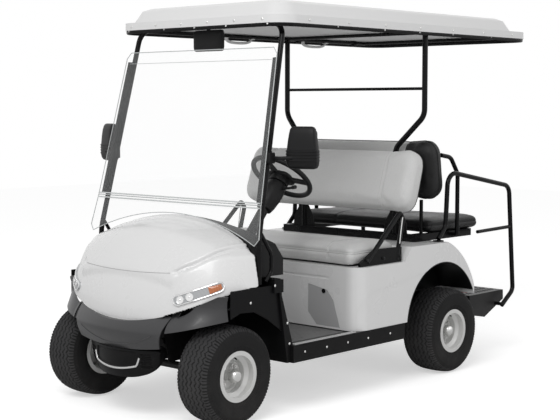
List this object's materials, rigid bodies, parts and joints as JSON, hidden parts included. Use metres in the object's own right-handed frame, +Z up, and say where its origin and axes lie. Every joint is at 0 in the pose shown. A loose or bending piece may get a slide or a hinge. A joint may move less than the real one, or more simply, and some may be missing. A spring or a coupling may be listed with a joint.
{
  "type": "golf cart",
  "caption": "Open electric golf cart with a moulded nose, two-pane windscreen, canopy on tube posts, a front bench and a rear-facing bench with step.",
  "frame": {"origin": "on the ground, under the middle of the cart's bounding box", "axes": "+X to the cart's left, -Y to its front, +Z up"},
  "size_m": [1.5378, 2.699, 1.9499],
  "materials": {
    "tyre": "matte, turf tread",
    "wheel_steel": "satin light silver paint",
    "body_white": "gloss moulded plastic",
    "panel_grey": "satin",
    "roof_white": "satin moulded plastic",
    "satin_black": "satin, fine grain",
    "black_tube": "black powder coat",
    "frame_paint": "black paint",
    "motor_paint": "black enamel",
    "battery_case": "moulded case",
    "floor_mat": "ribbed",
    "dash_plastic": "grained",
    "seat_vinyl": "grained vinyl",
    "dark_vinyl": "grained vinyl",
    "step_plate": "tread plate",
    "clear_pane": "clear acrylic",
    "head_lamp": "clear lens over chrome",
    "tail_lamp": "red lens"
  },
  "bodies": {
    "chassis": {"access_panel": "panel_grey", "battery_pack": "battery_case", "canopy_frame": "black_tube", "chassis_frame": "frame_paint", "dashboard": "dash_plastic", "drive_motor": "motor_paint", "floor_pan": "floor_mat", "front_axle_beam": "frame_paint", "front_backrest": "seat_vinyl", "front_bumper": "satin_black", "front_cowl": "body_white", "front_grille": "satin_black", "front_seat_cushion": "seat_vinyl", "grab_rails": "black_tube", "head_lamps": "head_lamp", "hip_restraints": "black_tube", "leaf_springs": "frame_paint", "leg_shield": "satin_black", "mirrors": "dash_plastic", "pedals": "dash_plastic", "rear_axle": "frame_paint", "rear_backrest": "dark_vinyl", "rear_body": "body_white", "rear_seat_cushion": "dark_vinyl", "rear_step": "step_plate", "rear_struts": "black_tube", "rear_wheel_wells": "satin_black", "rocker_panels": "satin_black", "roof_liner": "roof_white", "roof_panel": "roof_white", "steering_column": "dash_plastic", "tail_lamps": "tail_lamp", "windscreen_lower": "clear_pane", "windscreen_strips": "black_tube", "windscreen_upper": "clear_pane"},
    "wheel_front_left": {"rim_front_left": "wheel_steel", "tyre_front_left": "tyre"},
    "wheel_front_right": {"rim_front_right": "wheel_steel", "tyre_front_right": "tyre"},
    "wheel_rear_left": {"rim_rear_left": "wheel_steel", "tyre_rear_left": "tyre"},
    "wheel_rear_right": {"rim_rear_right": "wheel_steel", "tyre_rear_right": "tyre"},
    "knuckle_left": {"knuckle_left": "frame_paint"},
    "knuckle_right": {"knuckle_right": "frame_paint"},
    "tie_rod": {"tie_rod": "frame_paint"},
    "steering_wheel": {"steering_wheel": "dash_plastic"}
  },
  "joints": [
    {"name": "steering_turn", "type": "hinge", "parent": "chassis", "child": "steering_wheel", "pos_m": [0.25, -0.4415, 1.1], "axis": [0, 0.6428, 0.766], "range_deg": [-351, 351]},
    {"name": "knuckle_left_turn", "type": "hinge", "parent": "chassis", "child": "knuckle_left", "pos_m": [0.37, -1.0655, 0.2285], "axis": [0, 0, 1], "range_deg": [-27.1, 27.1]},
    {"name": "knuckle_right_turn", "type": "hinge", "parent": "chassis", "child": "knuckle_right", "pos_m": [-0.37, -1.0655, 0.2285], "axis": [0, 0, 1], "range_deg": [-27.1, 27.1]},
    {"name": "tie_rod_turn", "type": "hinge", "parent": "knuckle_left", "child": "tie_rod", "pos_m": [0.37, -1.0055, 0.198], "axis": [0, 0, 1], "range_deg": [-27.1, 27.1]},
    {"name": "spin_front_left", "type": "hinge", "parent": "knuckle_left", "child": "wheel_front_left", "pos_m": [0.468, -1.0655, 0.2285], "axis": [1, 0, 0], "continuous": true},
    {"name": "spin_front_right", "type": "hinge", "parent": "knuckle_right", "child": "wheel_front_right", "pos_m": [-0.468, -1.0655, 0.2285], "axis": [1, 0, 0], "continuous": true},
    {"name": "spin_rear_left", "type": "hinge", "parent": "chassis", "child": "wheel_rear_left", "pos_m": [0.502, 0.5745, 0.2285], "axis": [1, 0, 0], "continuous": true},
    {"name": "spin_rear_right", "type": "hinge", "parent": "chassis", "child": "wheel_rear_right", "pos_m": [-0.502, 0.5745, 0.2285], "axis": [1, 0, 0], "continuous": true}
  ],
  "couplings": [
    {"joint": "knuckle_left_turn", "follows": "steering_turn", "ratio": 0.076923},
    {"joint": "knuckle_right_turn", "follows": "steering_turn", "ratio": 0.076923},
    {"joint": "tie_rod_turn", "follows": "steering_turn", "ratio": -0.076923}
  ]
}
